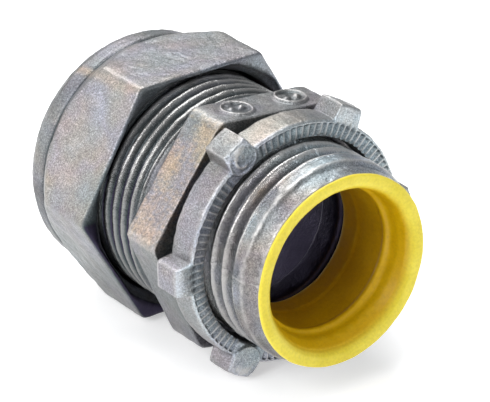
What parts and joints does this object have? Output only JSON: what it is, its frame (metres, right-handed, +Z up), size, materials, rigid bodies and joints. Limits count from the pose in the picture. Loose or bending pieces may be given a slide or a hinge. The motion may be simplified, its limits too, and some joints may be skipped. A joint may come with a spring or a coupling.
{
  "type": "conduit compression connector",
  "caption": "Connector that grips plain electrical conduit with a hexagon compression nut and fixes in a box knockout with a lugged locknut; an insulated throat guards the wires.",
  "frame": {"origin": "on the bore's axis, halfway between the throat's front face and the compression nut's rear face", "axes": "+X along the bore towards the insulated throat, -X towards the conduit entry; +Z up, square to a flat of the compression nut"},
  "size_m": [0.0362, 0.0298, 0.027],
  "materials": {
    "die_cast_zinc": "raw die-cast zinc alloy, satin, fine cast grain with tan and lilac tints",
    "spring_steel": "zinc-plated spring steel",
    "yellow_thermoplastic": "moulded yellow plastic, soft sheen"
  },
  "bodies": {
    "fitting_body": {"connector_body": "die_cast_zinc", "insulated_throat": "yellow_thermoplastic"},
    "gland_ring": {"gland_ring": "spring_steel"},
    "compression_nut": {"compression_nut": "die_cast_zinc"},
    "locknut": {"locknut": "die_cast_zinc"}
  },
  "joints": [
    {"name": "gland_travel", "type": "slide", "parent": "fitting_body", "child": "gland_ring", "axis": [1, 0, 0], "range_m": [-0.0084, 0.0021]},
    {"name": "nut_turn", "type": "hinge", "parent": "gland_ring", "child": "compression_nut", "pos_m": [-0.0113, 0, 0], "axis": [1, 0, 0], "range_deg": [-2160, 540]},
    {"name": "locknut_travel", "type": "slide", "parent": "fitting_body", "child": "locknut", "axis": [1, 0, 0], "range_m": [-0.0009, 0.012]}
  ],
  "couplings": [
    {"joint": "nut_turn", "follows": "gland_travel", "rad_per_m": 4453}
  ]
}
